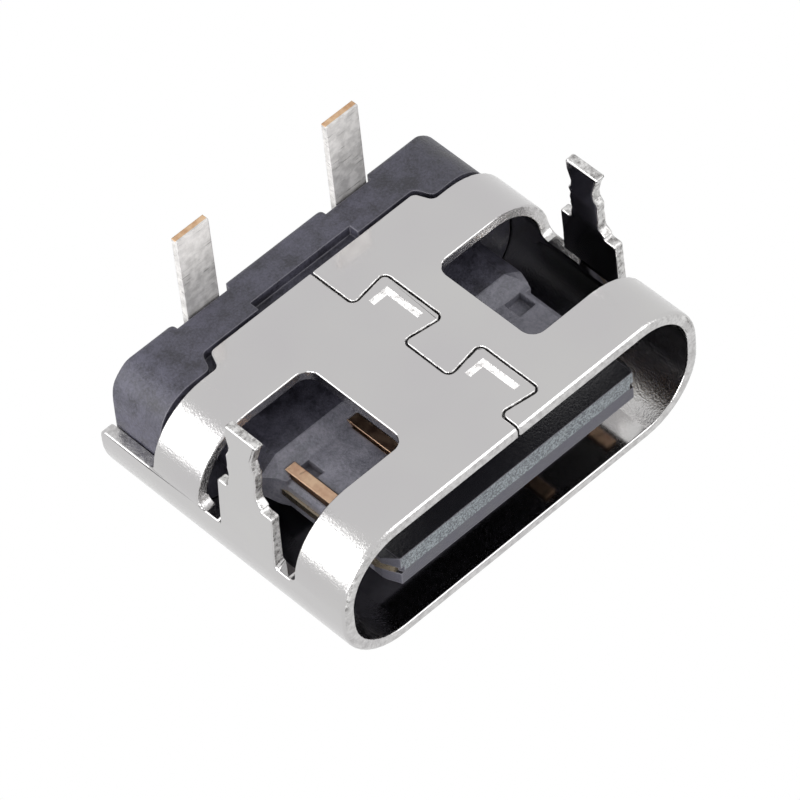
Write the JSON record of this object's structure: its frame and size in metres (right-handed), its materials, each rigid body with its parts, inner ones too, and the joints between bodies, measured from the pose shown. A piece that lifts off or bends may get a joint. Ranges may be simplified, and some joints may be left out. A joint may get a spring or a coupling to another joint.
{
  "type": "two pin oval power socket",
  "caption": "Through-hole socket with an oval rolled steel shell, a flat plastic tongue in its mouth, barbed board legs and two rear solder tails.",
  "frame": {"origin": "middle of the overall length and width, on the flat side that faces away from the board", "axes": "-Y out of the plug mouth, +X across the mouth, +Z towards the board, the way the legs and tails point"},
  "size_m": [0.0088, 0.0064, 0.005],
  "materials": {
    "shell": "nickel plated, satin",
    "housing": "moulded, fine matt grain",
    "mid_plate": "plain stamped",
    "terminal": "copper alloy, gilt fingers and tinned tails"
  },
  "bodies": {
    "root": {"shell": "shell", "housing": "housing", "mid_plate": "mid_plate", "ground_terminal": "terminal", "power_terminal": "terminal"}
  },
  "joints": []
}
